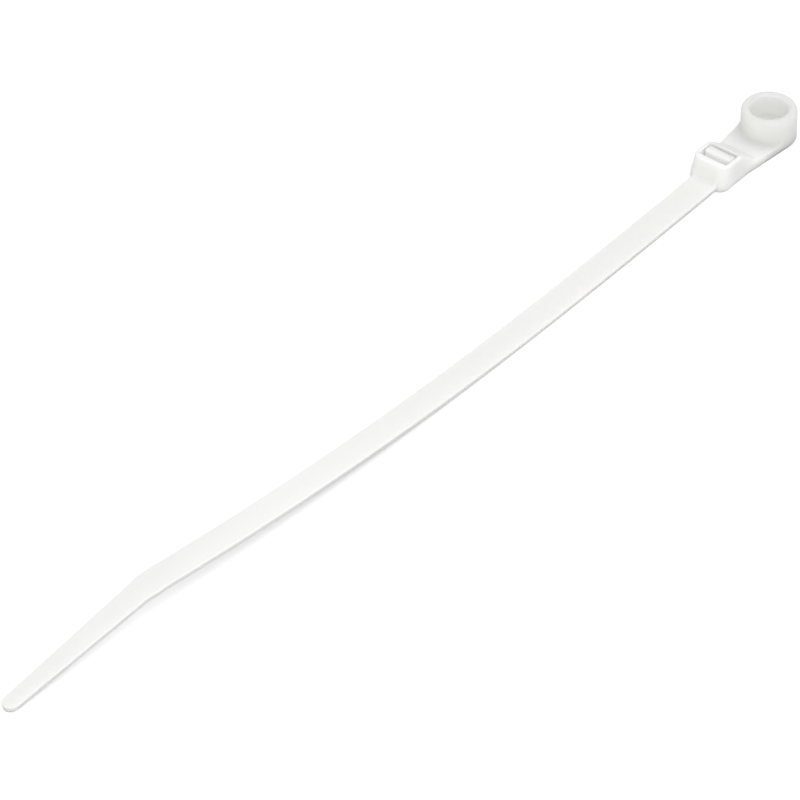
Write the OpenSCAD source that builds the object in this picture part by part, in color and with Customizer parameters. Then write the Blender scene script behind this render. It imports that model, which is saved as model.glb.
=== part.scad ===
// Screw-mount cable tie in natural nylon, moulded in one piece.
// A counterbored screw cup and a flared web carry the locking head, and the strap leaves the head's far end.
// The origin is on the screw hole's axis in the mounting face. X runs along the strap to its tip, Z up the hole.
// The smooth side of the strap faces up and its rack of teeth faces down, as the tie lies on a bench.
// Lengths are in millimetres and angles in degrees.

/* [Strap] */
// Width of the strap
strap_w = 4.8; // [4.4:0.1:5.4]
// Thickness of the strap over its rails
strap_t = 1.2; // [1.1:0.05:1.4]
// Distance from the screw hole to the bend where the tail starts
bend_x = 148; // [110:1:220]
// Length of the tail past the bend
tail_len = 30; // [22:1:40]
// Width of the tail just past its shoulder
tail_w = 4.2; // [3.6:0.1:4.3]
// Width of the tail before its round tip
tip_w = 2.8; // [2.2:0.1:3.2]
// Thickness of the tail at its tip
tip_t = 0.95; // [0.85:0.05:1.1]
// Width of the bevel along the strap's top edges
top_bevel = 0.1; // [0.05:0.05:0.2]
// Amount by which each side of the strap leans in towards the rack
side_draft = 0.35; // [0.1:0.05:0.4]

/* [Lie of the strap] */
// Distance from the screw hole to where the strap starts to lift off the bench
lift_x = 57; // [40:1:90]
// Height of the strap's underside at the bend
bend_rise = 4.2; // [1:0.1:8]
// Length of strap on each side of the bend that is curved
bend_blend = 3; // [1:0.5:5]
// Sideways lean of the strap where it leaves the head
side_lean = 1.05; // [0:0.05:2]
// Radius of the strap's sideways set
side_r = 1600; // [1400:10:4000]

/* [Rack] */
// Pitch of the rack teeth
tooth_pitch = 1; // [0.9:0.05:1.2]
// Depth of the rack teeth
tooth_h = 0.42; // [0.3:0.02:0.46]
// Flat land on the tip of each tooth
tooth_land = 0.2; // [0.1:0.05:0.3]
// Depth of the tooth tips inside the rails
tooth_sink = 0.1; // [0.05:0.05:0.15]
// Width of each rail beside the rack
rail_w = 0.7; // [0.5:0.05:0.9]
// Plain length between the head and the first tooth
rack_lead = 3; // [2:0.5:8]
// Plain length between the last tooth and the bend
rack_end = 4; // [3.5:0.5:8]
// Pitch of the grip grooves under the tail
grip_pitch = 2; // [1.6:0.1:3]
// Depth of the grip grooves
grip_h = 0.3; // [0.15:0.05:0.35]

/* [Head] */
// Distance from the screw hole to the head's face at the strap
head_end = 16.9; // [16.7:0.1:18.5]
// Length of the head, with the ramp that runs down to the web
head_l = 9.2; // [9:0.1:9.6]
// Width of the head
head_w = 7; // [6.8:0.1:7.6]
// Height of the head above the mounting face
head_h = 4.4; // [4.1:0.1:4.8]
// Length of the ramp
ramp_l = 3.8; // [3.2:0.1:4]
// Radius of the head's corners in plan at the strap
head_corner = 1.6; // [1.2:0.1:1.8]
// Radius of the head's top edges
head_round = 0.8; // [0.4:0.05:0.85]
// Amount by which each side wall of the head leans in towards its top
head_draft = 0.15; // [0:0.05:0.25]
// Amount by which the head's end wall leans back towards its top
end_draft = 0.85; // [0.2:0.05:0.9]
// Amount by which the walls of head and web lean in towards the mounting face
foot_draft = 0.12; // [0.05:0.01:0.2]
// Radius of the fillet where the strap's top meets the head
root_fillet = 1; // [0.3:0.1:1.2]

/* [Slot and pawl] */
// Thickness of the head between the web's ramp and the slot
abutment = 3.9; // [3.8:0.1:4.1]
// Room for the strap's thickness in the slot's mouth
throat_gap = 0.35; // [0.25:0.05:0.45]
// Room beside the strap in the slot, at each edge
slot_side_gap = 0.25; // [0.15:0.05:0.35]
// Length of the pawl's chamber behind the strap
pawl_room = 1.7; // [1.6:0.05:1.9]
// Gap between the pawl's tip and the abutment wall at rest
pawl_gap = 0.45; // [0.4:0.05:0.6]
// Thickness of the pawl at its tip
pawl_t = 1.5; // [1.3:0.05:1.6]
// Height of the chamber's floor, on which the pawl stands, above the mounting face
hinge_z = 1.5; // [1.2:0.1:1.7]
// Thickness of the pawl at its foot, where it bends
hinge_t = 0.5; // [0.4:0.05:0.6]
// Gap between the pawl and the slot's end walls
pawl_side_gap = 0.2; // [0.15:0.05:0.3]
// Number of teeth on the pawl
pawl_teeth = 2; // [2:1:3]
// Depth of the pawl's teeth
pawl_tooth = 0.25; // [0.2:0.05:0.3]

/* [Screw cup and web] */
// Outer diameter of the cup
cup_d = 8.9; // [8.6:0.1:10]
// Height of the cup
cup_h = 5.8; // [5:0.1:7]
// Diameter of the recess for the screw's head
recess_d = 6.1; // [5.6:0.1:6.4]
// Thickness of the cup's floor below the recess
floor_t = 1.85; // [1.5:0.05:2.2]
// Diameter of the screw hole
screw_d = 4.2; // [3.4:0.1:4.6]
// Height of the web between the cup and the head
web_h = 1.65; // [1.5:0.05:2]
// Bevel round the cup's foot
cup_bevel = 0.25; // [0.1:0.05:0.3]
// Radius of the rim's outer edge
rim_round = 1; // [0.5:0.05:1.1]
// Radius of the rim's inner edge
lip_round = 0.35; // [0.1:0.05:0.4]
// Radius of the fillet between the cup's wall and the web
cup_fillet = 0.6; // [0.3:0.1:0.9]

/* [Hidden] */
nylon = [0.93, 0.93, 0.9];
eps = 0.01;
round_fn = 64;
arc_steps = 6;
tip_steps = 6;
// Last angle of the round tip, which leaves a short flat at its end
tip_turn = 84;
ring_step = 4;
bend_steps = 8;
ring_points = 6;
band_step = 4;
shoulder_l = 2.5;
// Length of strap that is sunk in the head
root_sink = 1.3;
// Height of the parting line on the walls of head and web
parting_z = 0.6;
// Share of the pitch that a tooth's steep face and a groove's half width take
tooth_steep = 0.1;
groove_share = 0.4;
mouth_bevel = 0.3;
// Distance of the pawl's tip below the head's top, and of its teeth from the throat
pawl_drop = 0.15;
pawl_clear = 0.1;
// Height of the pawl's first tooth above the chamber's floor
pawl_foot = 0.45;
// Greatest share of the cup's wall that the rim's outer and inner rounding take
rim_share = 0.7;
lip_share = 0.26;
// Overlap of the pawl with the floor that carries it
pawl_sink = 0.2;
// Distance of the web's far corners inside the head's walls
web_inset = 0.2;

cup_r = cup_d / 2;
cup_wall = (cup_d - recess_d) / 2;
rim_r = min(rim_round, rim_share * cup_wall);
lip_r = min(lip_round, lip_share * cup_wall);
tip_x = bend_x + tail_len;
tip_r = tip_w / 2;
head_start = head_end - head_l;
slot_x = head_start + abutment;
throat_x = slot_x + strap_t + throat_gap;
chamber_x = throat_x + pawl_room;
slot_w = strap_w + 2 * slot_side_gap;
root_x = head_end - root_sink;
up_slope = 2 * bend_rise / (bend_x - lift_x);
down_slope = -bend_rise / tail_len;
rack_x = head_end + rack_lead;
rack_count = floor((bend_x - rack_end - rack_x) / tooth_pitch);
grip_x = bend_x + bend_blend + shoulder_l;
grip_count = floor((tip_x - tip_w - grip_x) / grip_pitch);

// Height of the strap's underside above the mounting face: flat, then a gentle lift, a rounded bend and the tail
function rise_at(x) =
    let (d = x - bend_x)
    x <= lift_x ? 0
    : d <= -bend_blend ? bend_rise * pow((x - lift_x) / (bend_x - lift_x), 2)
    : d >= bend_blend ? bend_rise + down_slope * d
    : bend_rise + (up_slope + down_slope) / 2 * d
        - (up_slope - down_slope) / (4 * bend_blend) * (d * d + bend_blend * bend_blend);

// Sideways place of the strap's middle: an arc up to the bend and straight past it
function side_at(x) =
    let (u = min(x, bend_x) - head_end)
    tan(side_lean) * u - u * u / (2 * side_r)
        + max(x - bend_x, 0) * (tan(side_lean) - (bend_x - head_end) / side_r);

// Half the strap's width: full, a short shoulder at the bend, a taper and the round tip
function half_w(x) =
    let (s = min(max((x - bend_x) / shoulder_l, 0), 1),
         full = strap_w / 2 + (tail_w - strap_w) / 2 * s * s * (3 - 2 * s),
         taper = (tip_w - tail_w) / 2 * max(x - bend_x - shoulder_l, 0) / (tail_len - shoulder_l - tip_r),
         past = max(x - (tip_x - tip_r), 0))
    past > 0 ? sqrt(max(tip_r * tip_r - past * past, 0)) : full + taper;

// Thickness of the strap, which thins along the tail
function thick(x) = strap_t + (tip_t - strap_t) * max(x - bend_x, 0) / tail_len;

function pitch_at(x) = atan((rise_at(x + eps) - rise_at(x - eps)) / (2 * eps));
function heading_at(x) = atan((side_at(x + eps) - side_at(x - eps)) / (2 * eps));

// One cross-section of the strap: flat top and bottom, sides that lean in below and bevelled top edges
function ring(x) =
    let (h = half_w(x), t = thick(x), p = pitch_at(x), q = heading_at(x),
         low = min(side_draft, h / 2), top = min(top_bevel, h / 2),
         section = [[low - h, 0], [h - low, 0], [h, t - top], [h - top, t], [top - h, t], [-h, t - top]])
    [for (s = section)
        [x - s[1] * sin(p) - s[0] * sin(q), side_at(x) + s[0] * cos(q), rise_at(x) + s[1] * cos(p)]];

// Places of the cross-sections: even steps to the bend, close steps round it, the tail and the round tip
function stations() =
    let (n = ceil((bend_x - bend_blend - root_x) / ring_step),
         m = ceil((tip_x - tip_r - bend_x - bend_blend) / ring_step))
    concat(
        [for (i = [0 : n - 1]) root_x + (bend_x - bend_blend - root_x) * i / n],
        [for (i = [0 : bend_steps - 1]) bend_x - bend_blend + 2 * bend_blend * i / bend_steps],
        [for (i = [0 : m - 1]) bend_x + bend_blend + (tip_x - tip_r - bend_x - bend_blend) * i / m],
        [for (i = [0 : tip_steps]) tip_x - tip_r + tip_r * sin(tip_turn * i / tip_steps)]);

// Solid bar of the strap, swept through its cross-sections
module strap_bar() {
    xs = stations();
    n = ring_points;
    last = len(xs) - 1;
    points = [for (x = xs) each ring(x)];
    sides = [for (i = [0 : last - 1], j = [0 : n - 1])
        let (a = i * n + j, b = i * n + (j + 1) % n)
        each [[a, b + n, b], [a, a + n, b + n]]];
    caps = [[for (j = [0 : n - 1]) j], [for (j = [n - 1 : -1 : 0]) last * n + j]];
    polyhedron(points = points, faces = concat(sides, caps));
}

// Upright block that follows the strap in plan, between its two rails
module band(from, to) {
    n = ceil((to - from) / band_step);
    xs = [for (i = [0 : n]) from + (to - from) * i / n];
    edge = [for (x = xs) [x, side_at(x) + half_w(x) - rail_w]];
    far_edge = [for (i = [n : -1 : 0]) [xs[i], side_at(xs[i]) - half_w(xs[i]) + rail_w]];
    translate([0, 0, -1]) linear_extrude(bend_rise + strap_t + 2) polygon(concat(edge, far_edge));
}

// Turns an outline in X and Z into a block across the strap
module across(width) {
    rotate([90, 0, 0]) linear_extrude(width, center = true) children();
}

// Space between the rack teeth. Each tooth has its steep locking face towards the head and a ramp towards the tip
module rack_cut() {
    root = tooth_sink + tooth_h;
    teeth = [for (i = [0 : rack_count - 1])
        let (x = rack_x + i * tooth_pitch)
        each [[x, rise_at(x) + root],
              [x + tooth_pitch * tooth_steep, rise_at(x) + tooth_sink],
              [x + tooth_pitch * tooth_steep + tooth_land, rise_at(x) + tooth_sink]]];
    end_x = rack_x + rack_count * tooth_pitch;
    floor_line = [[end_x, rise_at(end_x) + root], [end_x, -1], [rack_x, -1]];
    intersection() {
        across(2 * strap_w) polygon(concat(teeth, floor_line));
        band(rack_x - 1, end_x + 1);
    }
}

// Shallow grooves under the tail, for the fingers
module grip_cut() {
    intersection() {
        across(2 * strap_w) for (i = [0 : grip_count - 1]) {
            x = grip_x + i * grip_pitch;
            w = grip_pitch * groove_share;
            polygon([[x, rise_at(x) + grip_h], [x + w, rise_at(x + w) - eps], [x + w, rise_at(x + w) - 1],
                     [x - w, rise_at(x - w) - 1], [x - w, rise_at(x - w) - eps]]);
        }
        band(grip_x - 1, tip_x - tip_r);
    }
}

module strap() {
    difference() {
        strap_bar();
        rack_cut();
        grip_cut();
    }
}

// Points of an arc, for rounded corners in outlines
function arc(x, z, r, from, to) =
    [for (i = [0 : arc_steps]) let (a = from + (to - from) * i / arc_steps) [x + r * cos(a), z + r * sin(a)]];

// Outline of the head from the side: end wall at the strap, rounded top and the ramp down to the web
module head_profile() {
    r = head_round;
    ramp = atan((head_h - web_h) / ramp_l);
    polygon(concat(
        [[head_start, 0], [head_end, 0], [head_end, strap_t]],
        arc(head_end - end_draft - r, head_h - r, r, 0, 90),
        arc(head_start + ramp_l + r * tan(ramp / 2), head_h - r, r, 90, 90 + ramp),
        [[head_start, web_h - eps]]));
}

// Outline of the head from its end: walls that lean in above and below the parting line, and rounded top edges
module head_section() {
    r = head_round;
    h = head_w / 2;
    top_h = h - head_draft;
    polygon(concat(
        [[foot_draft - h, 0], [h - foot_draft, 0], [h, parting_z]],
        arc(top_h - r, head_h - r, r, 0, 90),
        arc(r - top_h, head_h - r, r, 90, 180),
        [[-h, parting_z]]));
}

// Upright post at a corner of the head, with the same rounded top edge as the head's walls
module head_post() {
    r = head_round;
    rotate_extrude($fn = round_fn) polygon(concat(
        [[0, 0], [head_corner, 0], [head_corner, strap_t]],
        arc(head_corner - head_draft - r, head_h - r, r, 0, 90),
        [[0, head_h]]));
}

// Block of the head in plan, with large corners at the strap
module head_plan() {
    h = head_w / 2;
    r = head_corner;
    linear_extrude(2 * head_h) {
        translate([head_start, -h]) square([head_l - r, head_w]);
        translate([head_start, r - h]) square([head_l, head_w - 2 * r]);
    }
    for (side = [-1, 1]) translate([head_end - r, side * (h - r), 0]) head_post();
}

module head_block() {
    intersection() {
        across(2 * head_w) head_profile();
        rotate([90, 0, 90]) linear_extrude(2 * head_end) head_section();
        head_plan();
    }
}

// Slot through the head for the strap's tail, with the pawl's chamber behind it and a bevelled mouth below
module slot_cut() {
    across(slot_w) polygon([
        [slot_x - mouth_bevel, -1], [slot_x - mouth_bevel, 0], [slot_x, mouth_bevel], [slot_x, head_h + 1],
        [chamber_x, head_h + 1], [chamber_x, hinge_z], [throat_x, hinge_z],
        [throat_x, mouth_bevel], [throat_x + mouth_bevel, 0], [throat_x + mouth_bevel, -1]]);
}

// Pawl on its thin foot. It leans over the throat and its teeth face the abutment wall
module pawl() {
    top_z = head_h - pawl_drop;
    top_x = slot_x + pawl_gap;
    foot_z = hinge_z + pawl_foot;
    foot_x = throat_x - pawl_clear;
    run = (top_z - foot_z) / pawl_teeth;
    lean = (foot_x - top_x) / (top_z - foot_z);
    back_x = foot_x + pawl_tooth + hinge_t;
    front = [for (i = [0 : pawl_teeth - 1])
        let (z = foot_z + i * run, x = foot_x - lean * i * run)
        each [[x + pawl_tooth, z], [x - lean * run, z + run * (1 - tooth_steep)]]];
    across(slot_w - 2 * pawl_side_gap) polygon(concat(
        [[back_x, hinge_z - pawl_sink], [throat_x, hinge_z - pawl_sink]],
        front,
        [[top_x + pawl_clear, top_z], [top_x + pawl_t, top_z], [back_x, foot_z]]));
}

// Fillet between the strap's top face and the head's leaning end wall
module root_fillet_bar() {
    r = root_fillet;
    lean = atan(end_draft / (head_h - head_round - strap_t));
    x = head_end + r * tan((90 - lean) / 2);
    across(strap_w - 2 * top_bevel - 2 * eps) polygon(concat(
        [[root_x, strap_t - eps], [x, strap_t - eps]],
        arc(x, strap_t + r, r, 270, 180 + lean),
        [[root_x, strap_t + r * (1 - sin(lean))]]));
}

// Outline of the web in plan: straight sides that touch the cup's wall and end inside the head
function web_outline(inset) =
    let (r = cup_r - inset, far_x = slot_x, far_w = head_w / 2 - web_inset - inset,
         turn = atan2(far_w, far_x) + acos(r / sqrt(far_x * far_x + far_w * far_w)),
         x = r * cos(turn), y = r * sin(turn))
    [[0, 0], [x, y], [far_x, far_w], [far_x, -far_w], [x, -y]];

// Flared web that joins the cup to the head, in two steps that follow the foot's draft
module web() {
    linear_extrude(parting_z) polygon(web_outline(foot_draft));
    translate([0, 0, parting_z / 2]) linear_extrude(web_h - parting_z / 2) polygon(web_outline(0));
}

// Screw cup before its bores: bevelled foot and a rim with a large round outside and a small one inside
module cup_body() {
    b = cup_bevel;
    lip_x = recess_d / 2 + lip_r;
    rotate_extrude($fn = round_fn) polygon(concat(
        [[0, 0], [cup_r - b, 0], [cup_r, b]],
        arc(cup_r - rim_r, cup_h - rim_r, rim_r, 0, 90),
        arc(lip_x, cup_h - lip_r, lip_r, 90, 180),
        [[0, cup_h - lip_r]]));
}

// Fillet round the cup's foot, kept to the part that stands on the web
module cup_foot() {
    intersection() {
        rotate_extrude($fn = round_fn) polygon(concat(
            [[0, web_h - eps], [cup_r + cup_fillet, web_h - eps]],
            [for (i = [0 : arc_steps]) let (a = 270 - 90 * i / arc_steps)
                [cup_r + cup_fillet + cup_fillet * cos(a), web_h + cup_fillet + cup_fillet * sin(a)]],
            [[0, web_h + cup_fillet]]));
        translate([0, 0, web_h - 2 * eps]) linear_extrude(cup_h) polygon(web_outline(0));
    }
}

// Recess for the screw's head and the screw hole through the floor below it
module cup_bores() {
    translate([0, 0, floor_t]) cylinder(h = cup_h, d = recess_d, $fn = round_fn);
    translate([0, 0, -1]) cylinder(h = floor_t + 2, d = screw_d, $fn = round_fn);
}

// Cup, web and head with their openings
module base() {
    difference() {
        union() {
            cup_body();
            cup_foot();
            web();
            head_block();
        }
        cup_bores();
        slot_cut();
    }
}

module cable_tie() {
    color(nylon) {
        base();
        pawl();
        root_fillet_bar();
        strap();
    }
}

cable_tie();
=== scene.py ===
"""Screw-mount cable tie in natural nylon, moulded in one piece, on a plain pale floor.

The classes hold their sizes in millimetres. Every shape is modelled at one unit to the millimetre and the
finished moulding is brought down to metres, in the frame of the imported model: the origin is on the screw hole's
axis in the mounting face, X runs along the strap to its tip and Z up the screw hole.
"""

import logging
import math
from dataclasses import dataclass, field
from enum import Enum
from typing import Callable

import bmesh
import bpy
from mathutils import Matrix, Vector

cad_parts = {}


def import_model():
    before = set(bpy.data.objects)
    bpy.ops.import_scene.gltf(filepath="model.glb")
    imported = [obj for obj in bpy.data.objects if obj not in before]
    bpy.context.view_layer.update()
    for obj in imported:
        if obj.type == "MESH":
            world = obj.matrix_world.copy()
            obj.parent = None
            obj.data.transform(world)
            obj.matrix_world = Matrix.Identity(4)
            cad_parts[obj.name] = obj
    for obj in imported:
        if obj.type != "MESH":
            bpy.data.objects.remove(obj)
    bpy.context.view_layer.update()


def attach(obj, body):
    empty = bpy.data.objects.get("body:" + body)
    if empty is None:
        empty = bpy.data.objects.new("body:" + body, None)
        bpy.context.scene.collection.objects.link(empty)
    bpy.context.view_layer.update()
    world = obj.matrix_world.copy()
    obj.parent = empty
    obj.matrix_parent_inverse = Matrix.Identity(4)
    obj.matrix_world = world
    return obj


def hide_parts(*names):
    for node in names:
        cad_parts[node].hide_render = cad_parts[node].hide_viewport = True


log = logging.getLogger("cable_tie")
Point = tuple[float, float, float]
MILLIMETRE = 0.001  # in metres
NEAR = 0.01  # how far from a place a vertex may be and still be taken as being there, in millimetres
OVER = 1  # how far a cutter runs past the face that it opens, in millimetres
SQUARE = 0.99  # how much of a direction lies along an axis that it is taken to follow


class Pick(Enum):
    """What a selection in edit mode takes."""

    VERT = "VERT"
    EDGE = "EDGE"
    FACE = "FACE"


class Mix(Enum):
    """How one solid acts on another."""

    ADD = "UNION"
    CUT = "DIFFERENCE"
    KEEP = "INTERSECT"


def take(piece: bpy.types.Object) -> None:
    """Makes one piece the active one and the only one selected."""
    if bpy.context.object and bpy.context.object.mode != "OBJECT":
        bpy.ops.object.mode_set(mode="OBJECT")
    bpy.ops.object.select_all(action="DESELECT")
    piece.select_set(True)
    bpy.context.view_layer.objects.active = piece


def fresh(name: str) -> bpy.types.Object:
    """Names the primitive that was just added and applies its place to its mesh.

    Args:
        name: Name of the new piece.

    Returns:
        The piece, with its object at the origin.
    """
    piece = bpy.context.object
    piece.name = piece.data.name = name
    take(piece)
    bpy.ops.object.transform_apply(location=True, rotation=True, scale=True)
    return piece


def block(name: str, low: Point, high: Point) -> bpy.types.Object:
    """Adds a box between two corners.

    Args:
        name: Name of the new piece.
        low: Lowest corner.
        high: Highest corner.

    Returns:
        The box.
    """
    middle = tuple((a + b) / 2 for a, b in zip(low, high))
    size = tuple(b - a for a, b in zip(low, high))
    bpy.ops.mesh.primitive_cube_add(size=1, location=middle, scale=size)
    return fresh(name)


def apply(piece: bpy.types.Object, kind: str, **values: object) -> None:
    """Adds a modifier to a piece and applies it.

    Args:
        piece: Piece that is changed.
        kind: Kind of the modifier.
        values: Its settings.
    """
    take(piece)
    step = piece.modifiers.new(kind.lower(), kind)
    for name, value in values.items():
        setattr(step, name, value)
    bpy.ops.object.modifier_apply(modifier=step.name)


def combine(piece: bpy.types.Object, other: bpy.types.Object, how: Mix) -> None:
    """Joins, cuts or trims a piece with another solid, which is used up.

    Args:
        piece: Piece that is changed.
        other: The other solid.
        how: Whether it is added, cut out or kept.
    """
    apply(piece, "BOOLEAN", operation=how.value, solver="EXACT", object=other)
    bpy.data.objects.remove(other)


def repeat(piece: bpy.types.Object, count: int, pitch: float, merged: bool) -> None:
    """Repeats a piece along X within its own mesh.

    Args:
        piece: Piece that is repeated.
        count: How often it stands there in the end.
        pitch: Distance from one to the next.
        merged: Whether touching vertices are merged.
    """
    apply(piece, "ARRAY", count=count, use_relative_offset=False, use_constant_offset=True,
          constant_offset_displace=(pitch, 0, 0), use_merge_vertices=merged, merge_threshold=0.001)


def gather(pieces: list[bpy.types.Object]) -> bpy.types.Object:
    """Joins pieces into the first one as loose shells, and returns it."""
    take(pieces[0])
    for piece in pieces[1:]:
        piece.select_set(True)
    bpy.ops.object.join()
    return pieces[0]


class Shaping:
    """One piece in edit mode, with the selections and moves that shape it."""

    def __init__(self, piece: bpy.types.Object) -> None:
        """Keeps the piece that is to be shaped."""
        self.piece = piece

    def __enter__(self) -> "Shaping":
        """Goes into edit mode with all of the piece selected."""
        take(self.piece)
        bpy.ops.object.mode_set(mode="EDIT")
        bpy.ops.mesh.select_mode(type=Pick.VERT.value)
        bpy.ops.mesh.select_all(action="SELECT")
        return self

    def __exit__(self, *problem: object) -> None:
        """Goes back to object mode."""
        bpy.ops.object.mode_set(mode="OBJECT")

    def pick(self, kind: Pick, test: Callable[[Vector, Vector], bool]) -> None:
        """Selects the vertices, edges or faces that pass a test, and nothing else.

        Args:
            kind: What is selected.
            test: Takes the middle of a part, and its normal or, for an edge, its direction.
        """
        bpy.ops.mesh.select_mode(type=kind.value)
        bpy.ops.mesh.select_all(action="DESELECT")
        mesh = bmesh.from_edit_mesh(self.piece.data)
        if kind is Pick.VERT:
            parts = [(v, v.co, v.normal) for v in mesh.verts]
        elif kind is Pick.EDGE:
            parts = [(e, (e.verts[0].co + e.verts[1].co) / 2, (e.verts[1].co - e.verts[0].co).normalized())
                     for e in mesh.edges]
        else:
            parts = [(f, f.calc_center_median(), f.normal) for f in mesh.faces]
        for part, middle, way in parts:
            if test(middle, way):
                part.select_set(True)
        mesh.select_flush_mode()
        bmesh.update_edit_mesh(self.piece.data)

    def move(self, x: float = 0, y: float = 0, z: float = 0) -> None:
        """Moves what is selected."""
        bpy.ops.transform.translate(value=(x, y, z))

    def size(self, x: float = 1, y: float = 1, z: float = 1, about: Point = (0, 0, 0)) -> None:
        """Scales what is selected about a point."""
        bpy.ops.transform.resize(value=(x, y, z), center_override=about)

    def extrude(self, x: float = 0, y: float = 0, z: float = 0) -> None:
        """Extrudes the selected face or faces."""
        bpy.ops.mesh.extrude_region_move(TRANSFORM_OT_translate={"value": (x, y, z)})

    def slice(self, place: Point, normal: Point) -> None:
        """Adds a line of edges where a plane crosses the piece."""
        bpy.ops.mesh.select_all(action="SELECT")
        bpy.ops.mesh.bisect(plane_co=place, plane_no=normal)

    def bevel(self, width: float, segments: int = 6) -> None:
        """Rounds the selected edges."""
        bpy.ops.mesh.bevel(offset=width, segments=segments, profile=0.5, affect="EDGES", clamp_overlap=True)

    def close(self) -> None:
        """Merges doubled vertices and turns every face outwards."""
        bpy.ops.mesh.select_all(action="SELECT")
        bpy.ops.mesh.remove_doubles(threshold=0.0005)
        bpy.ops.mesh.normals_make_consistent(inside=False)


def draw(name: str, points: list[Point], filled: bool = True) -> bpy.types.Object:
    """Draws a closed outline from point to point.

    Args:
        name: Name of the new piece.
        points: Corners of the outline, in order.
        filled: Whether the outline is filled with a face.

    Returns:
        The flat outline.
    """
    bpy.ops.mesh.primitive_plane_add(size=1, location=(0, 0, 0))
    piece = fresh(name)
    with Shaping(piece) as shape:
        bpy.ops.mesh.merge(type="CENTER")
        shape.move(*points[0])
        for here, there in zip(points, points[1:]):
            way = tuple(b - a for a, b in zip(here, there))
            bpy.ops.mesh.extrude_vertices_move(TRANSFORM_OT_translate={"value": way})
        bpy.ops.mesh.select_all(action="SELECT")
        bpy.ops.mesh.edge_face_add()
        if not filled:
            bpy.ops.mesh.delete(type="ONLY_FACE")
    return piece


def across(name: str, profile: list[tuple[float, float]], width: float) -> bpy.types.Object:
    """Makes a block of even width from an outline in X and Z.

    Args:
        name: Name of the new piece.
        profile: Corners of the outline.
        width: Width of the block, centred on the middle plane.

    Returns:
        The block.
    """
    piece = draw(name, [(x, -width / 2, z) for x, z in profile])
    with Shaping(piece) as shape:
        shape.extrude(y=width)
        shape.close()
    return piece


def turned(name: str, rings: list[tuple[float, float]], corners: int) -> bpy.types.Object:
    """Builds a round solid ring by ring from the bottom up.

    Args:
        name: Name of the new piece.
        rings: Radius and height of every ring.
        corners: Number of corners of the round.

    Returns:
        The closed solid, round about the Z axis.
    """
    bpy.ops.mesh.primitive_circle_add(
        vertices=corners, radius=rings[0][0], fill_type="NGON", location=(0, 0, rings[0][1]))
    piece = fresh(name)
    with Shaping(piece) as shape:
        for (r, z), (next_r, next_z) in zip(rings, rings[1:]):
            shape.extrude(z=next_z - z)
            shape.size(next_r / r, next_r / r, about=(0, 0, next_z))
        shape.close()
    return piece


def bow(x: float, z: float, r: float, start: float, end: float, steps: int) -> list[tuple[float, float]]:
    """Points of an arc.

    Args:
        x: Middle of the arc.
        z: Middle of the arc.
        r: Radius.
        start: First angle in degrees.
        end: Last angle in degrees.
        steps: Number of chords.

    Returns:
        The points, both ends included.
    """
    turns = [math.radians(start + (end - start) * i / steps) for i in range(steps + 1)]
    return [(x + r * math.cos(a), z + r * math.sin(a)) for a in turns]


@dataclass(frozen=True)
class PaintedLightRegion:
    """A box or an upright round on the tie, in metres, whose colour is blended towards a tone of its own as painted
    light or shade.
    """

    colour: Point
    middle: Point
    half: Point
    share: float = 1.0
    upright: bool = False
    soft: float = 0.02

    def within(self, tree: bpy.types.NodeTree, place: bpy.types.NodeSocket) -> bpy.types.NodeSocket:
        """Tells what lies inside, with a soft edge.

        Args:
            tree: Node tree of the material.
            place: Socket with the place on the tie.

        Returns:
            The socket that gives the region's share inside and 0 outside.
        """
        last = place
        for operation, value in (("SUBTRACT", self.middle), ("DIVIDE", self.half), ("ABSOLUTE", None)):
            step = tree.nodes.new("ShaderNodeVectorMath")
            step.operation = operation
            tree.links.new(last, step.inputs[0])
            if value:
                step.inputs[1].default_value = value
            last = step.outputs["Vector"]
        parts = tree.nodes.new("ShaderNodeSeparateXYZ")
        tree.links.new(last, parts.inputs["Vector"])
        most, axes = parts.outputs["X"], ("Y", "Z")
        if self.upright:
            level, reach = (tree.nodes.new("ShaderNodeVectorMath") for _ in range(2))
            level.operation, reach.operation = "MULTIPLY", "LENGTH"
            level.inputs[1].default_value = (1, 1, 0)
            tree.links.new(last, level.inputs[0])
            tree.links.new(level.outputs["Vector"], reach.inputs[0])
            most, axes = reach.outputs["Value"], ("Z",)
        for axis in axes:
            larger = tree.nodes.new("ShaderNodeMath")
            larger.operation = "MAXIMUM"
            tree.links.new(most, larger.inputs[0])
            tree.links.new(parts.outputs[axis], larger.inputs[1])
            most = larger.outputs["Value"]
        fade = tree.nodes.new("ShaderNodeMapRange")
        for name, value in (("From Min", 1 - self.soft), ("From Max", 1 + self.soft),
                            ("To Min", self.share), ("To Max", 0.0)):
            fade.inputs[name].default_value = value
        tree.links.new(most, fade.inputs["Value"])
        return fade.outputs["Result"]

    def over(self, tree: bpy.types.NodeTree, place: bpy.types.NodeSocket,
             tone: bpy.types.NodeSocket) -> bpy.types.NodeSocket:
        """Lays the region's painted light or shade over a tone.

        Args:
            tree: Node tree of the material.
            place: Socket with the place on the tie.
            tone: Socket with the tone so far.

        Returns:
            The socket that gives the blended tone.
        """
        blend = tree.nodes.new("ShaderNodeMix")
        blend.data_type = "RGBA"
        blend.inputs["B"].default_value = (*self.colour, 1)
        tree.links.new(self.within(tree, place), blend.inputs["Factor"])
        tree.links.new(tone, blend.inputs["A"])
        return blend.outputs["Result"]


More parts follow.
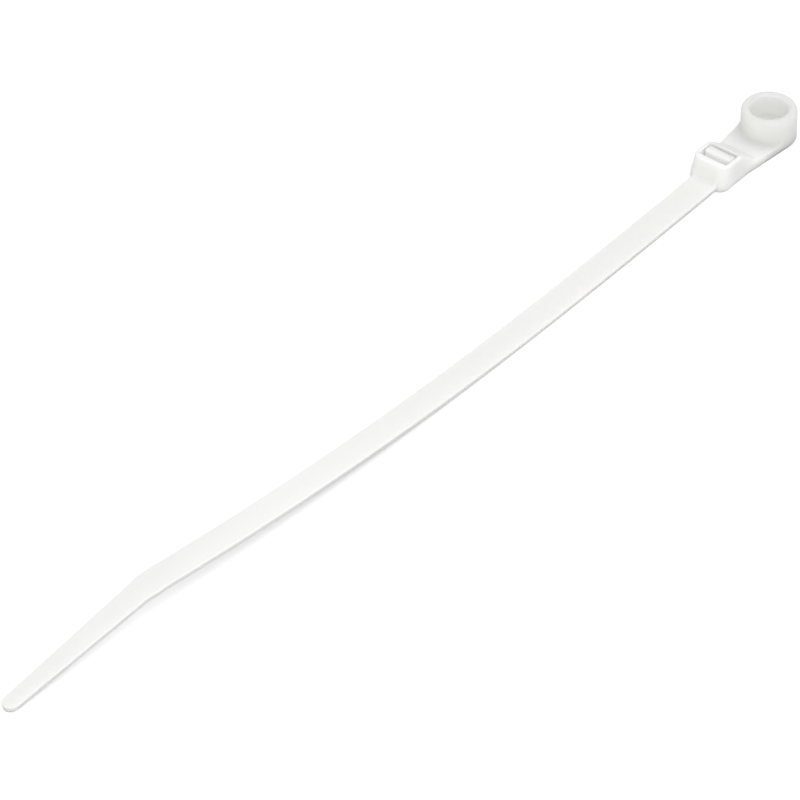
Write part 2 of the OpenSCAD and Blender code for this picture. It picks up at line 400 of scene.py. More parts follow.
@dataclass(frozen=True)
class Nylon:
    """Natural nylon as it leaves the mould: off-white, translucent and satin, in a tone that changes along the tie.

    The tone along the tie is partly the nylon's own and partly painted light and shade: the thick cup is deeper,
    partly in its own tone and partly as painted shade; the web and the head over the slot are paler as painted light;
    the strap's root by the head and its tail are darker as painted shade. The cup's full rim is darker still as
    painted shade, and the walls inside the slot and the recess are paler as painted light in those hollows. Places
    and depths are in metres.
    """

    # Tones along the tie by place in metres: the cup's deeper tone is partly the nylon's own and partly painted
    # shade, the paler web and the pale stretch over the slot are painted light, and the darker root by the head and
    # the darker tail are painted shade.
    tones: tuple[tuple[float, Point], ...] = (
        (0.004, (0.785, 0.785, 0.75)), (0.0065, (0.915, 0.915, 0.875)), (0.0108, (0.885, 0.885, 0.855)),
        (0.0118, (0.905, 0.905, 0.88)), (0.0148, (0.905, 0.905, 0.88)), (0.0165, (0.845, 0.845, 0.825)),
        (0.12, (0.86, 0.86, 0.855)), (0.155, (0.82, 0.82, 0.815)))
    # Painted shade: the top of the cup's rim is darkened.
    rim: PaintedLightRegion = PaintedLightRegion((0.71, 0.71, 0.68), (0.0, 0.0, 0.0058), (0.008, 0.008, 0.0006), upright=True, soft=0.6)
    # Painted light: the walls inside the slot and the pawl below its top are paled, standing for light in that
    # hollow.
    slot: PaintedLightRegion = PaintedLightRegion((0.98, 0.98, 0.97), (0.01322, 0.0, 0.0021), (0.0017, 0.0027, 0.0021))
    # Painted light: the walls inside the recess are partly paled, standing for light in that hollow.
    recess: PaintedLightRegion = PaintedLightRegion(
        (0.98, 0.98, 0.97), (0.0, 0.0, 0.0038), (0.0032, 0.0032, 0.0018), share=0.4, upright=True)
    cloud: float = 0.97
    cloud_scale: Point = (60, 260, 260)
    cloud_detail: float = 3
    depths: tuple[tuple[float, float], ...] = ((0.004, 0.006), (0.007, 0.0032), (0.0115, 0.0015), (0.022, 0.0006))
    depth_grey: float = 100
    scatter: Point = (1.0, 0.97, 0.92)
    share: float = 1.0
    ior: float = 1.5
    shine: float = 0.2
    roughness: tuple[float, float] = (0.44, 0.58)
    grain: float = 2600
    grain_detail: float = 4
    swell: float = 240
    swell_detail: float = 2
    swell_share: float = 4
    bump_strength: float = 0.25
    bump_depth: float = 0.00001

    def stops(self, tree: bpy.types.NodeTree, place: bpy.types.NodeSocket,
              colours: tuple[tuple[float, Point], ...]) -> bpy.types.NodeSocket:
        """Lays a run of colours along the tie.

        Args:
            tree: Node tree of the material.
            place: Socket with the place along the tie.
            colours: Places in metres and the colour at each.

        Returns:
            The socket that gives the colour.
        """
        span = colours[-1][0]
        reach = tree.nodes.new("ShaderNodeMath")
        reach.operation = "DIVIDE"
        reach.inputs[1].default_value = span
        tree.links.new(place, reach.inputs[0])
        ramp = tree.nodes.new("ShaderNodeValToRGB")
        elements = ramp.color_ramp.elements
        elements[0].position, elements[0].color = colours[0][0] / span, (*colours[0][1], 1)
        elements[1].color = (*colours[-1][1], 1)
        for x, colour in colours[1:-1]:
            elements.new(x / span).color = (*colour, 1)
        tree.links.new(reach.outputs["Value"], ramp.inputs["Fac"])
        return ramp.outputs["Color"]

    def noise(self, tree: bpy.types.NodeTree, place: bpy.types.NodeSocket, scale: float,
              detail: float) -> bpy.types.NodeSocket:
        """Adds a noise that rests on the tie.

        Args:
            tree: Node tree of the material.
            place: Socket with the place on the tie.
            scale: Scale of the noise.
            detail: Its detail.

        Returns:
            The socket that gives it.
        """
        noise = tree.nodes.new("ShaderNodeTexNoise")
        noise.inputs["Scale"].default_value = scale
        noise.inputs["Detail"].default_value = detail
        tree.links.new(place, noise.inputs["Vector"])
        return noise.outputs["Fac"]

    def between(self, tree: bpy.types.NodeTree, value: bpy.types.NodeSocket, low: float,
                high: float) -> bpy.types.NodeSocket:
        """Brings a value that runs from 0 to 1 between two others.

        Args:
            tree: Node tree of the material.
            value: Socket with the value.
            low: What 0 becomes.
            high: What 1 becomes.

        Returns:
            The socket that gives the new value.
        """
        reach = tree.nodes.new("ShaderNodeMapRange")
        reach.inputs["To Min"].default_value = low
        reach.inputs["To Max"].default_value = high
        tree.links.new(value, reach.inputs["Value"])
        return reach.outputs["Result"]

    def colour(self, tree: bpy.types.NodeTree, place: bpy.types.NodeSocket, along: bpy.types.NodeSocket,
               clouds: bpy.types.NodeSocket) -> bpy.types.NodeSocket:
        """Gives the colour: the tones along the tie with their painted light and shade, the regions of painted light
        and shade over them and soft clouds.

        Args:
            tree: Node tree of the material.
            place: Socket with the place on the tie.
            along: Socket with the place along it.
            clouds: Socket with the clouds.

        Returns:
            The socket that gives the colour.
        """
        tone = self.stops(tree, along, self.tones)
        # Painted shade on the cup's rim, painted light inside the slot and the recess.
        for region in (self.rim, self.slot, self.recess):
            tone = region.over(tree, place, tone)
        tint = tree.nodes.new("ShaderNodeVectorMath")
        tint.operation = "SCALE"
        tree.links.new(tone, tint.inputs[0])
        tree.links.new(self.between(tree, clouds, self.cloud, 1.0), tint.inputs["Scale"])
        return tint.outputs["Vector"]

    def depth(self, tree: bpy.types.NodeTree, along: bpy.types.NodeSocket) -> bpy.types.NodeSocket:
        """Gives how deep light sinks in: further in the thick cup and head than in the thin strap.

        Args:
            tree: Node tree of the material.
            along: Socket with the place along the tie.

        Returns:
            The socket that gives the depth in metres.
        """
        greys = tuple((x, (self.depth_grey * depth,) * 3) for x, depth in self.depths)
        sink = tree.nodes.new("ShaderNodeMath")
        sink.operation = "MULTIPLY"
        sink.inputs[1].default_value = 1 / self.depth_grey
        tree.links.new(self.stops(tree, along, greys), sink.inputs[0])
        return sink.outputs["Value"]

    def relief(self, tree: bpy.types.NodeTree, place: bpy.types.NodeSocket) -> bpy.types.NodeSocket:
        """Gives the skin of the mould: a fine grain on slow swells.

        Args:
            tree: Node tree of the material.
            place: Socket with the place on the tie.

        Returns:
            The socket that gives the normal.
        """
        height = tree.nodes.new("ShaderNodeMath")
        height.operation = "MULTIPLY_ADD"
        height.inputs[1].default_value = self.swell_share
        tree.links.new(self.noise(tree, place, self.swell, self.swell_detail), height.inputs[0])
        tree.links.new(self.noise(tree, place, self.grain, self.grain_detail), height.inputs[2])
        bump = tree.nodes.new("ShaderNodeBump")
        bump.inputs["Strength"].default_value = self.bump_strength
        bump.inputs["Distance"].default_value = self.bump_depth
        tree.links.new(height.outputs["Value"], bump.inputs["Height"])
        return bump.outputs["Normal"]

    def material(self) -> bpy.types.Material:
        """Builds the material: soft clouding along the flow, a faint mould texture and light that sinks in.

        Returns:
            The finished material.
        """
        material = bpy.data.materials.new("natural_nylon")
        material.use_nodes = True
        tree = material.node_tree
        shader = tree.nodes["Principled BSDF"]
        shader.inputs["Subsurface Weight"].default_value = self.share
        shader.inputs["Subsurface Radius"].default_value = self.scatter
        shader.inputs["IOR"].default_value = self.ior
        shader.inputs["Specular IOR Level"].default_value = self.shine
        place = tree.nodes.new("ShaderNodeTexCoord").outputs["Object"]
        axes = tree.nodes.new("ShaderNodeSeparateXYZ")
        tree.links.new(place, axes.inputs["Vector"])
        along = axes.outputs["X"]
        flow = tree.nodes.new("ShaderNodeMapping")
        flow.inputs["Scale"].default_value = self.cloud_scale
        tree.links.new(place, flow.inputs["Vector"])
        clouds = self.noise(tree, flow.outputs["Vector"], 1, self.cloud_detail)
        for name, socket in (
                ("Base Color", self.colour(tree, place, along, clouds)),
                ("Subsurface Scale", self.depth(tree, along)),
                ("Roughness", self.between(tree, clouds, *self.roughness)),
                ("Normal", self.relief(tree, place))):
            tree.links.new(socket, shader.inputs[name])
        return material


@dataclass
class ScrewCup:
    """Round cup for the screw: a wall with a rounded rim, a recess for the head and a fillet on the web."""

    radius: float = 4.45
    height: float = 5.8
    recess_r: float = 3.05
    floor: float = 1.85
    hole_r: float = 2.1
    bevel: float = 0.25
    rim: float = 0.85
    rim_steps: int = 10
    lip: float = 0.54
    lip_steps: int = 6
    fillet: float = 0.6
    fillet_steps: int = 8
    fillet_corners: int = 96
    in_wall: float = 0.3
    in_web: float = 0.1
    past_web: float = 0.05
    corners: int = 128

    def body(self) -> bpy.types.Object:
        """Makes the cup as a solid drum with a bevelled foot and a rounded rim, and returns it."""
        r, top = self.radius, self.height
        rim = bow(r - self.rim, top - self.rim, self.rim, 0, 90, self.rim_steps)
        return turned("cup", [(r - self.bevel, 0), (r, self.bevel), *rim], self.corners)

    def foot(self, web_z: float, web: bpy.types.Object) -> bpy.types.Object:
        """Makes the fillet round the cup's foot, kept to the part over the web.

        Args:
            web_z: Height of the web's top.
            web: A tall block with the web's outline, which is used up.

        Returns:
            The fillet as a ring.
        """
        r, near, far, low = self.fillet, self.radius - self.in_wall, self.radius + self.fillet, web_z - self.in_web
        profile = [(near, low), (far + self.past_web, low)]
        profile += bow(far, web_z + r, r, 270, 180, self.fillet_steps) + [(near, web_z + r)]
        ring = draw("cup_foot", [(x, 0, z) for x, z in profile], filled=False)
        with Shaping(ring) as shape:
            bpy.ops.mesh.spin(steps=self.fillet_corners, angle=math.tau, center=(0, 0, 0), axis=(0, 0, 1),
                              use_auto_merge=True)
            shape.close()
        combine(ring, web, Mix.KEEP)
        return ring

    def bores(self) -> bpy.types.Object:
        """Makes the cutter for screw hole, recess and rounded lip, and returns it."""
        wide, top = self.recess_r + self.lip, self.height
        lip = bow(wide, top - self.lip, self.lip, 180, 90, self.lip_steps)
        return turned("bores", [(self.hole_r, -OVER), (self.hole_r, self.floor), (self.recess_r, self.floor), *lip,
                                (wide, top + OVER)], self.corners)


@dataclass
class LockingHead:
    """Head with its ramp and leaning end wall, the web to the cup, and the slot with the pawl on a thin foot."""

    start: float = 7.7
    end: float = 16.9
    width: float = 7.0
    height: float = 4.4
    ramp: float = 3.8
    corner: float = 1.6
    corner_reach: float = 1.5
    corner_steps: int = 10
    edge: float = 1.0
    edge_steps: int = 6
    upright: float = 0.9
    lengthwise: float = 0.5
    side_reach: float = 0.5
    draft: float = 0.15
    low_part: int = 6
    end_lean: float = 0.354
    lean_z: float = 1.2
    foot_draft: float = 0.12
    parting_z: float = 0.6
    web_z: float = 1.65
    web_far_w: float = 3.3
    slot_x: float = 11.6
    throat_x: float = 13.15
    chamber_x: float = 14.85
    slot_w: float = 5.3
    mouth: float = 0.3
    chamber_z: float = 1.5
    foot_t: float = 0.5
    pawl_gap: float = 0.45
    pawl_t: float = 1.5
    pawl_side_gap: float = 0.2
    pawl_drop: float = 0.15
    pawl_rise: float = 0.45
    pawl_over: float = 0.1
    pawl_sink: float = 0.2
    pawl_nose: float = 0.1
    pawl_tooth: float = 0.25
    pawl_teeth: int = 2
    tooth_share: float = 0.9
    root_fillet: float = 1.0
    root_back: float = 1.3
    root_sink: float = 0.3
    root_steps: int = 8

    def body(self) -> bpy.types.Object:
        """Shapes the head from a box: ramp, leaning walls, large corners at the strap and rounded top edges.

        Returns:
            The head without its slot.
        """
        half, top = self.width / 2, self.height
        head = block("head", (self.start, -half, 0), (self.end, half, top))
        with Shaping(head) as shape:
            shape.slice((self.start + self.ramp, 0, 0), (1, 0, 0))
            shape.slice((0, 0, self.lean_z), (0, 0, 1))
            shape.slice((0, 0, self.parting_z), (0, 0, 1))
            levels = ((top, half - self.draft), (self.lean_z, half - self.draft / self.low_part),
                      (0, half - self.foot_draft))
            for z, side in levels:
                shape.pick(Pick.VERT, lambda middle, way: abs(middle.z - z) < NEAR)
                shape.size(y=side / half)
            shape.pick(Pick.VERT, lambda middle, way: middle.z > top - NEAR and middle.x > self.end - NEAR)
            shape.move(x=-self.end_lean * (top - self.lean_z))
            shape.pick(Pick.VERT, lambda middle, way: middle.z < NEAR and middle.x > self.end - NEAR)
            shape.move(x=-self.foot_draft)
            shape.pick(Pick.VERT, lambda middle, way: middle.z > top - NEAR and middle.x < self.start + NEAR)
            shape.move(z=self.web_z - top)
            corner_x = self.end - self.corner_reach
            shape.pick(Pick.EDGE, lambda middle, way: abs(way.z) > self.upright and middle.x > corner_x)
            shape.bevel(self.corner, self.corner_steps)
            shape.pick(Pick.EDGE, self.upper_edge)
            shape.bevel(self.edge, self.edge_steps)
            shape.close()
        return head

    def upper_edge(self, middle: Vector, way: Vector) -> bool:
        """Tells whether an edge runs round the head's top or down the sides of its ramp.

        Args:
            middle: Middle of the edge.
            way: Its direction.

        Returns:
            True for an edge that is rounded.
        """
        if middle.z > self.height - NEAR:
            return True
        on_ramp = middle.x < self.start + self.ramp and middle.z > self.web_z
        return on_ramp and abs(way.x) > self.lengthwise and abs(middle.y) > self.width / 2 - self.side_reach

    def web(self, name: str, high: float, cup_r: float) -> bpy.types.Object:
        """Makes the flared web, whose straight sides touch the cup's wall.

        Args:
            name: Name of the new piece.
            high: Height of its top.
            cup_r: Radius of the cup.

        Returns:
            The web, with its foot drawn in below the parting line.
        """
        far_x, far_w = self.slot_x, self.web_far_w
        turn = math.atan2(far_w, far_x) + math.acos(cup_r / math.hypot(far_x, far_w))
        near_x, near_w = cup_r * math.cos(turn), cup_r * math.sin(turn)
        web = block(name, (near_x, -near_w, 0), (far_x, near_w, high))
        with Shaping(web) as shape:
            shape.pick(Pick.VERT, lambda middle, way: middle.x > far_x - NEAR)
            shape.size(y=far_w / near_w)
            shape.slice((0, 0, self.parting_z), (0, 0, 1))
            shape.pick(Pick.VERT, lambda middle, way: middle.z < NEAR)
            shape.size(y=1 - self.foot_draft / far_w)
        return web

    def slot(self) -> bpy.types.Object:
        """Makes the cutter for the slot, the pawl's chamber and the bevelled mouth, and returns it."""
        m, top = self.mouth, self.height + OVER
        return across("slot", [
            (self.slot_x - m - OVER, -OVER), (self.slot_x, m), (self.slot_x, top), (self.chamber_x, top),
            (self.chamber_x, self.chamber_z), (self.throat_x, self.chamber_z), (self.throat_x, m),
            (self.throat_x + m + OVER, -OVER)], self.slot_w)

    def pawl(self) -> bpy.types.Object:
        """Makes the pawl, which leans over the throat with its teeth towards the abutment, and returns it."""
        top_z, top_x = self.height - self.pawl_drop, self.slot_x + self.pawl_gap
        foot_z, foot_x = self.chamber_z + self.pawl_rise, self.throat_x - self.pawl_over
        back_x, low = foot_x + self.pawl_tooth + self.foot_t, self.chamber_z - self.pawl_sink
        run = (top_z - foot_z) / self.pawl_teeth
        lean = (foot_x - top_x) / (top_z - foot_z)
        teeth = []
        for i in range(self.pawl_teeth):
            x, z = foot_x - lean * i * run, foot_z + i * run
            teeth += [(x + self.pawl_tooth, z), (x - lean * run, z + run * self.tooth_share)]
        return across("pawl", [
            (back_x, low), (self.throat_x, low), *teeth, (top_x + self.pawl_nose, top_z),
            (top_x + self.pawl_t, top_z), (back_x, foot_z)], self.slot_w - 2 * self.pawl_side_gap)

    def root(self, thickness: float, width: float) -> bpy.types.Object:
        """Makes the fillet where the strap's top meets the leaning end wall.

        Args:
            thickness: Thickness of the strap.
            width: Width of its flat top.

        Returns:
            The fillet as a bar across the strap.
        """
        r, lean = self.root_fillet, math.degrees(math.atan(self.end_lean))
        x = self.end + r * math.tan(math.radians(90 - lean) / 2)
        back, low = self.end - self.root_back, thickness - self.root_sink
        return across("root", [(back, low), (x, low)] + bow(x, thickness + r, r, 270, 180 + lean, self.root_steps)
                      + [(back, thickness + r * (1 - math.sin(math.radians(lean))))], width)


@dataclass
class Strap:
    """Strap with a rack of teeth between two rails below, and the bent, tapered tail with its round tip."""

    width: float = 4.8
    thickness: float = 1.2
    head_end: float = 16.9
    root_x: float = 15.6
    bend_x: float = 148.0
    tail: float = 30.0
    tail_w: float = 4.2
    tip_w: float = 2.8
    tip_t: float = 0.95
    top_bevel: float = 0.1
    side_draft: float = 0.35
    shoulder: float = 2.5
    lift_x: float = 57.0
    bend_rise: float = 4.2
    blend: float = 3.0
    side_lean: float = 1.05
    side_r: float = 1600.0
    pitch: float = 1.0
    tooth_h: float = 0.42
    land: float = 0.2
    steep: float = 0.1
    sink: float = 0.1
    rail: float = 0.7
    rack_lead: float = 3.0
    rack_end: float = 4.0
    grip_pitch: float = 2.0
    grip_h: float = 0.3
    grip_open: float = 0.4
    grip_lap: float = 0.01
    edge: float = 0.035
    edge_steps: int = 2
    edge_angle: float = 28
    path_step: float = 0.5
    root_lap: float = 0.1
    root_raise: float = 0.3
    bend_lead: float = 1
    sections: tuple[int, ...] = (43, 10, 8, 12, 14)
    tip_turn: float = 86

    def rise_at(self, x: float) -> float:
        """Height of the underside over the mounting face: flat, a gentle lift, a rounded bend and the tail."""
        up, down = 2 * self.bend_rise / (self.bend_x - self.lift_x), -self.bend_rise / self.tail
        past, b = x - self.bend_x, self.blend
        if x <= self.lift_x:
            return 0.0
        if past <= -b:
            return self.bend_rise * ((x - self.lift_x) / (self.bend_x - self.lift_x)) ** 2
        if past >= b:
            return self.bend_rise + down * past
        return self.bend_rise + (up + down) / 2 * past - (up - down) / (4 * b) * (past * past + b * b)

    def side_at(self, x: float) -> float:
        """Sideways place of the strap's middle: an arc up to the bend and straight past it."""
        lean, u = math.tan(math.radians(self.side_lean)), min(x, self.bend_x) - self.head_end
        straight = max(x - self.bend_x, 0) * (lean - (self.bend_x - self.head_end) / self.side_r)
        return lean * u - u * u / (2 * self.side_r) + straight

    def path(self) -> list[Point]:
        """Points of the line along which the strap lies, from its root in the head to its tip."""
        tip = self.bend_x + self.tail
        count = round((tip - self.root_x) / self.path_step)
        places = [self.root_x + (tip - self.root_x) * i / count for i in range(count + 1)]
        return [(x, self.side_at(x), self.rise_at(x)) for x in places]

    def flat(self, x: float) -> float:
        """Place on the strap laid flat of the section that lies at x.

        Args:
            x: Place along the strap as it lies.

        Returns:
            The place when it is straight, measured from the same root.
        """
        run, last = self.root_x, None
        for point in self.path():
            here = Vector(point)
            if last is not None:
                if here.x > x:
                    return run + (x - last.x) / (here.x - last.x) * (here - last).length
                run += (here - last).length
            last = here
        return run

    def half_at(self, past: float, length: float) -> float:
        """Half the tail's width.

        Args:
            past: Distance past the bend.
            length: Length of the flat tail.

        Returns:
            Half the width there: a short shoulder, a taper and the round tip.
        """
        r = self.tip_w / 2
        s = min(max(past / self.shoulder, 0), 1)
        full = self.width / 2 + (self.tail_w - self.width) / 2 * s * s * (3 - 2 * s)
        taper = (self.tip_w - self.tail_w) / 2 * max(past - self.shoulder, 0) / (length - self.shoulder - r)
        over = past - (length - r)
        return math.sqrt(max(r * r - over * over, 0)) if over > 0 else full + taper

    def blank(self) -> bpy.types.Object:
        """Extrudes the strap's section along its flat length, narrows the tail and rounds its tip.

        The root's underside is raised, so that it comes out of the head's foot and not out of the mounting
        face.

        Returns:
            The straight strap without rack and grooves.
        """
        h, t, low, top = self.width / 2, self.thickness, self.side_draft, self.top_bevel
        section = [(low - h, 0), (h - low, 0), (h, t - top), (h - top, t), (top - h, t), (-h, t - top)]
        bend, tip = self.flat(self.bend_x), self.flat(self.bend_x + self.tail)
        tail, r = tip - bend, self.tip_w / 2
        strap = draw("strap", [(self.root_x, y, z) for y, z in section])
        early, past_shoulder = bend - self.blend - self.bend_lead, bend + self.shoulder
        to_bend, at_bend, at_shoulder, down_tail, at_tip = self.sections
        stops = [self.head_end - self.root_lap]
        stops += [stops[0] + (early - stops[0]) * (i + 1) / to_bend for i in range(to_bend)]
        stops += [early + (bend - early) * (i + 1) / at_bend for i in range(at_bend)]
        stops += [bend + self.shoulder * (i + 1) / at_shoulder for i in range(at_shoulder)]
        stops += [past_shoulder + (tail - self.shoulder - r) * (i + 1) / down_tail for i in range(down_tail)]
        stops += [tip - r + r * math.sin(math.radians(self.tip_turn * (i + 1) / at_tip)) for i in range(at_tip)]
        with Shaping(strap) as shape:
            here, wide, thick = self.root_x, h, t
            for stop in stops:
                shape.extrude(x=stop - here)
                past = max(stop - bend, 0)
                new_wide = self.half_at(past, tail)
                new_thick = t + (self.tip_t - t) * past / tail
                shape.size(y=new_wide / wide, z=new_thick / thick, about=(stop, 0, 0))
                here, wide, thick = stop, new_wide, new_thick
            shape.pick(Pick.VERT, lambda middle, way: middle.x < self.root_x + NEAR and middle.z < NEAR)
            shape.move(z=self.root_raise)
            shape.close()
        return strap

    def rack(self) -> bpy.types.Object:
        """Makes the cutter for the rack: the space of one tooth, repeated at the pitch.

        Returns:
            The comb that leaves the teeth between the rails.
        """
        start, root = self.flat(self.head_end + self.rack_lead), self.sink + self.tooth_h
        count = int((self.flat(self.bend_x) - self.rack_end - start) / self.pitch)
        top, far = start + self.steep * self.pitch, start + self.pitch
        comb = across("rack", [
            (start, root), (top, self.sink), (top + self.land, self.sink), (far, root), (far, -OVER), (start, -OVER)],
            self.width - 2 * self.rail)
        end_z = (root - OVER) / 2
        with Shaping(comb) as shape:
            shape.pick(Pick.FACE, lambda middle, way: abs(way.x) > SQUARE and abs(middle.z - end_z) < NEAR)
            bpy.ops.mesh.delete(type="ONLY_FACE")
        repeat(comb, count, self.pitch, merged=True)
        with Shaping(comb) as shape:
            bpy.ops.mesh.select_all(action="DESELECT")
            bpy.ops.mesh.select_mode(type=Pick.EDGE.value)
            bpy.ops.mesh.select_non_manifold()
            bpy.ops.mesh.fill_holes(sides=0)
            shape.close()
        log.info("rack of %d teeth", count)
        return comb

    def grips(self) -> bpy.types.Object:
        """Makes the cutter for the shallow grooves under the tail, each as wide as the tail lets it be.

        Returns:
            The row of grooves.
        """
        bend, tip = self.flat(self.bend_x), self.flat(self.bend_x + self.tail)
        start, w = bend + self.blend + self.shoulder, self.grip_open * self.grip_pitch
        count = int((tip - self.tip_w - start) / self.grip_pitch)
        groove = across("grips", [
            (start - w, -self.grip_lap), (start, self.grip_h), (start + w, -self.grip_lap), (start + w, -OVER),
            (start - w, -OVER)], 2)
        repeat(groove, count, self.grip_pitch, merged=False)
        with Shaping(groove) as shape:
            for i in range(count):
                x = start + i * self.grip_pitch
                shape.pick(Pick.VERT, lambda middle, way: abs(middle.x - x) < w + NEAR)
                shape.size(y=self.half_at(x - bend, tip - bend) - self.rail)
        return groove

    def lay(self, strap: bpy.types.Object) -> None:
        """Bends the straight strap along the line on which it lies.

        Args:
            strap: The straight strap.
        """
        line = bpy.data.curves.new("lie", "CURVE")
        line.dimensions, line.twist_mode = "3D", "Z_UP"
        line.use_deform_bounds = True
        spline = line.splines.new("POLY")
        points = self.path()
        spline.points.add(len(points) - 1)
        for knot, point in zip(spline.points, points):
            knot.co = (*point, 1)
        lie = bpy.data.objects.new("lie", line)
        bpy.context.scene.collection.objects.link(lie)
        apply(strap, "CURVE", object=lie, deform_axis="POS_X")
        bpy.data.objects.remove(lie)

    def build(self) -> bpy.types.Object:
        """Makes the whole strap: blank, rack, grooves, softened edges and the way it lies.

        Returns:
            The finished strap.
        """
        strap = self.blank()
        combine(strap, self.rack(), Mix.CUT)
        combine(strap, self.grips(), Mix.CUT)
        with Shaping(strap) as shape:
            shape.close()
        apply(strap, "BEVEL", width=self.edge, segments=self.edge_steps, limit_method="ANGLE",
              angle_limit=math.radians(self.edge_angle))
        self.lay(strap)
        return strap

    def stub(self, slim: float, reach: float) -> bpy.types.Object:
        """Makes the strap's first stretch a little slimmer, so that the head's skin flows out onto it.

        Args:
            slim: Amount by which it is slimmer on every side.
            reach: How far past the head it runs.

        Returns:
            The stub, leaning as the strap does.
        """
        h, t, low, top = self.width / 2 - slim, self.thickness - slim, self.side_draft, self.top_bevel
        section = [(low - h, slim), (h - low, slim), (h, t - top), (h - top, t), (top - h, t), (-h, t - top)]
        stub = draw("stub", [(self.root_x, y, z) for y, z in section])
        far = self.head_end + reach
        with Shaping(stub) as shape:
            shape.extrude(x=far - self.root_x)
            shape.close()
            for x in (self.root_x, far):
                shape.pick(Pick.VERT, lambda middle, way: abs(middle.x - x) < NEAR)
                shape.move(y=self.side_at(x))
        return stub


@dataclass
class Moulding:
    """The whole tie as the single moulding that it is."""

    cup: ScrewCup = field(default_factory=ScrewCup)
    head: LockingHead = field(default_factory=LockingHead)
    strap: Strap = field(default_factory=Strap)
    finish: Nylon = field(default_factory=Nylon)
    grain: float = 0.06
    soften: int = 20
    soften_share: float = 0.5
    keep: float = 0.3
    root_trim: float = 0.04
    stub_slim: float = 0.02
    stub_reach: float = 2.5
    crease: float = 35

    def mount(self) -> bpy.types.Object:
        """Joins cup, web and head, opens the bores and the slot, and gives the whole a moulded skin.

        Returns:
            The mount with the pawl and the strap's stub.
        """
        body = self.cup.body()
        combine(body, self.head.web("web", self.head.web_z, self.cup.radius), Mix.ADD)
        combine(body, self.head.body(), Mix.ADD)
        foot_limit = self.head.web("foot_limit", self.cup.height, self.cup.radius)
        combine(body, self.cup.foot(self.head.web_z, foot_limit), Mix.ADD)
        combine(body, self.cup.bores(), Mix.CUT)
        combine(body, self.head.slot(), Mix.CUT)
        flat_top = self.strap.width - 2 * self.strap.top_bevel - self.root_trim
        root = self.head.root(self.strap.thickness, flat_top)
        body = gather([body, self.head.pawl(), root, self.strap.stub(self.stub_slim, self.stub_reach)])
        apply(body, "REMESH", mode="VOXEL", voxel_size=self.grain, adaptivity=0)
        apply(body, "SMOOTH", factor=self.soften_share, iterations=self.soften)
        apply(body, "DECIMATE", ratio=self.keep)
        return body

    def build(self) -> bpy.types.Object:
        """Builds the tie and dresses it in nylon.

        Returns:
            The finished piece, in metres.
        """
        tie = self.strap.build()
        log.info("strap: %d faces", len(tie.data.polygons))
        mount = self.mount()
        log.info("mount: %d faces", len(mount.data.polygons))
        combine(tie, mount, Mix.ADD)
        tie.name = tie.data.name = "cable_tie_moulding"
        take(tie)
        tie.scale = (MILLIMETRE, MILLIMETRE, MILLIMETRE)
        bpy.ops.object.transform_apply(location=False, rotation=False, scale=True)
        bpy.ops.object.shade_smooth_by_angle(angle=math.radians(self.crease))
        tie.data.materials.clear()
        tie.data.materials.append(self.finish.material())
        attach(tie, "root")
        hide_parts("cable_tie")
        return tie


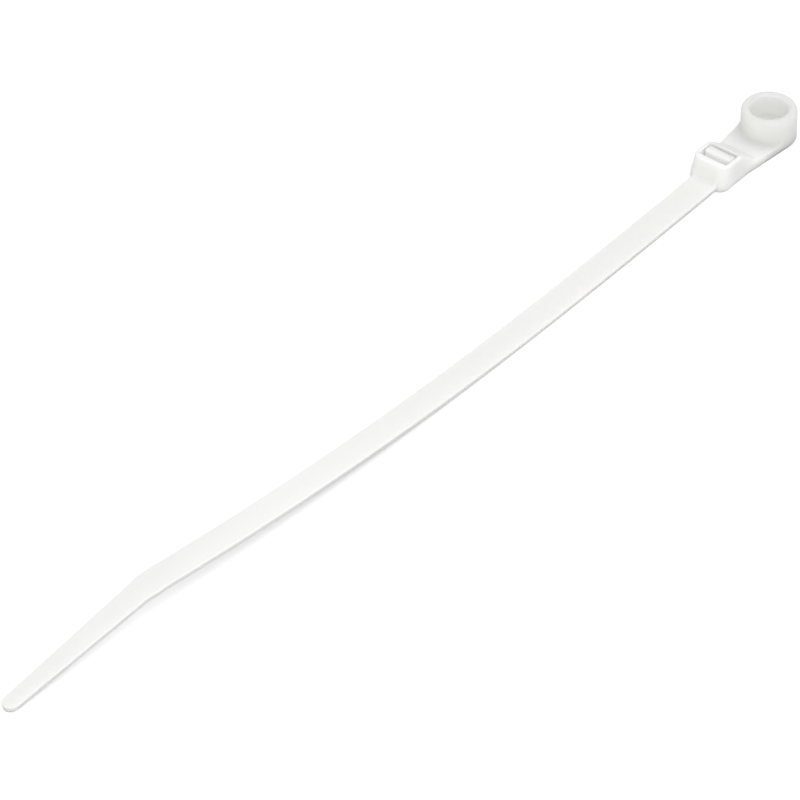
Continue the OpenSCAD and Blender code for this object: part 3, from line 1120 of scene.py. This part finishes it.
@dataclass
class Studio:
    """Pale floor, an even surround, a soft key lamp and the camera at the photograph's angle, in metres."""

    floor_size: float = 6.0
    floor_middle: tuple[float, float] = (0.08, 0)
    floor_z: float = -0.00005
    floor_tone: float = 0.7
    floor_roughness: float = 0.9
    floor_glow: float = 0.4
    key_place: Point = (0.36, 0.335, 0.70)
    key_power: float = 3.3
    key_size: float = 0.55
    world_strength: float = 0.72
    azimuth: float = 128.568
    elevation: float = 39.407
    distance: float = 1.212189
    target: Point = (0.075, 0.0, 0.001)
    target_px: tuple[float, float] = (473.652, 366.214)
    middle_px: float = 400
    focal_px: float = 8000.0
    lens: float = 360.0
    sensor: float = 36.0
    clip: tuple[float, float] = (0.01, 50)

    def floor(self) -> None:
        """Lays the pale floor, which is white to the camera and still takes the tie's shadow."""
        bpy.ops.mesh.primitive_plane_add(size=self.floor_size, location=(*self.floor_middle, self.floor_z))
        floor = fresh("floor")
        material = bpy.data.materials.new("pale_floor")
        material.use_nodes = True
        nodes, links = material.node_tree.nodes, material.node_tree.links
        shader = nodes["Principled BSDF"]
        shader.inputs["Base Color"].default_value = (self.floor_tone, self.floor_tone, self.floor_tone, 1)
        shader.inputs["Roughness"].default_value = self.floor_roughness
        shader.inputs["Specular IOR Level"].default_value = 0.0
        rays = nodes.new("ShaderNodeLightPath")
        seen = nodes.new("ShaderNodeMath")
        seen.operation = "MULTIPLY"
        seen.inputs[1].default_value = self.floor_glow
        links.new(rays.outputs["Is Camera Ray"], seen.inputs[0])
        shader.inputs["Emission Color"].default_value = (1, 1, 1, 1)
        links.new(seen.outputs["Value"], shader.inputs["Emission Strength"])
        floor.data.materials.append(material)

    def world(self) -> None:
        """Sets an even pale surround, which is plain white to the camera."""
        world = bpy.context.scene.world or bpy.data.worlds.new("surround")
        bpy.context.scene.world = world
        world.use_nodes = True
        nodes, links = world.node_tree.nodes, world.node_tree.links
        nodes.clear()
        out = nodes.new("ShaderNodeOutputWorld")
        light, white = (nodes.new("ShaderNodeBackground") for _ in range(2))
        mix = nodes.new("ShaderNodeMixShader")
        for shader, strength in ((light, self.world_strength), (white, 1.0)):
            shader.inputs["Color"].default_value = (1, 1, 1, 1)
            shader.inputs["Strength"].default_value = strength
        rays = nodes.new("ShaderNodeLightPath")
        links.new(rays.outputs["Is Camera Ray"], mix.inputs["Fac"])
        links.new(light.outputs["Background"], mix.inputs[1])
        links.new(white.outputs["Background"], mix.inputs[2])
        links.new(mix.outputs["Shader"], out.inputs["Surface"])

    def key_lamp(self) -> None:
        """Hangs the square soft lamp, which faces the tie."""
        light = bpy.data.lights.new("key_lamp", "AREA")
        light.energy, light.size = self.key_power, self.key_size
        lamp = bpy.data.objects.new("key_lamp", light)
        lamp.location = self.key_place
        lamp.rotation_euler = (Vector(self.target) - Vector(self.key_place)).to_track_quat("-Z", "Y").to_euler()
        bpy.context.scene.collection.objects.link(lamp)

    def camera(self) -> None:
        """Places the camera so that the target falls on its pixel of the 800 by 800 frame."""
        a, e = math.radians(self.azimuth), math.radians(self.elevation)
        forward = Vector((-math.sin(a) * math.cos(e), math.cos(a) * math.cos(e), -math.sin(e)))
        right = Vector((math.cos(a), math.sin(a), 0))
        down = forward.cross(right)
        x_px, y_px = (place - self.middle_px for place in self.target_px)
        ray = forward * self.focal_px + right * x_px + down * y_px
        data = bpy.data.cameras.new("camera")
        data.lens, data.sensor_width, data.sensor_fit = self.lens, self.sensor, "HORIZONTAL"
        data.clip_start, data.clip_end = self.clip
        camera = bpy.data.objects.new("camera", data)
        turn = Matrix((right, -down, -forward)).transposed().to_4x4()
        stand = Vector(self.target) - ray.normalized() * self.distance
        camera.matrix_world = Matrix.Translation(stand) @ turn
        bpy.context.scene.collection.objects.link(camera)
        bpy.context.scene.camera = camera

    def build(self) -> None:
        """Sets the whole stage."""
        bpy.context.scene.view_settings.view_transform = "Standard"
        self.floor()
        self.world()
        self.key_lamp()
        self.camera()


def main() -> None:
    """Builds the tie and its stage."""
    logging.basicConfig(level=logging.INFO, format="%(message)s")
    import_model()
    tie = Moulding().build()
    log.info("%s: %d faces", tie.name, len(tie.data.polygons))
    Studio().build()
    log.info("studio set")


if __name__ == "__main__":
    main()
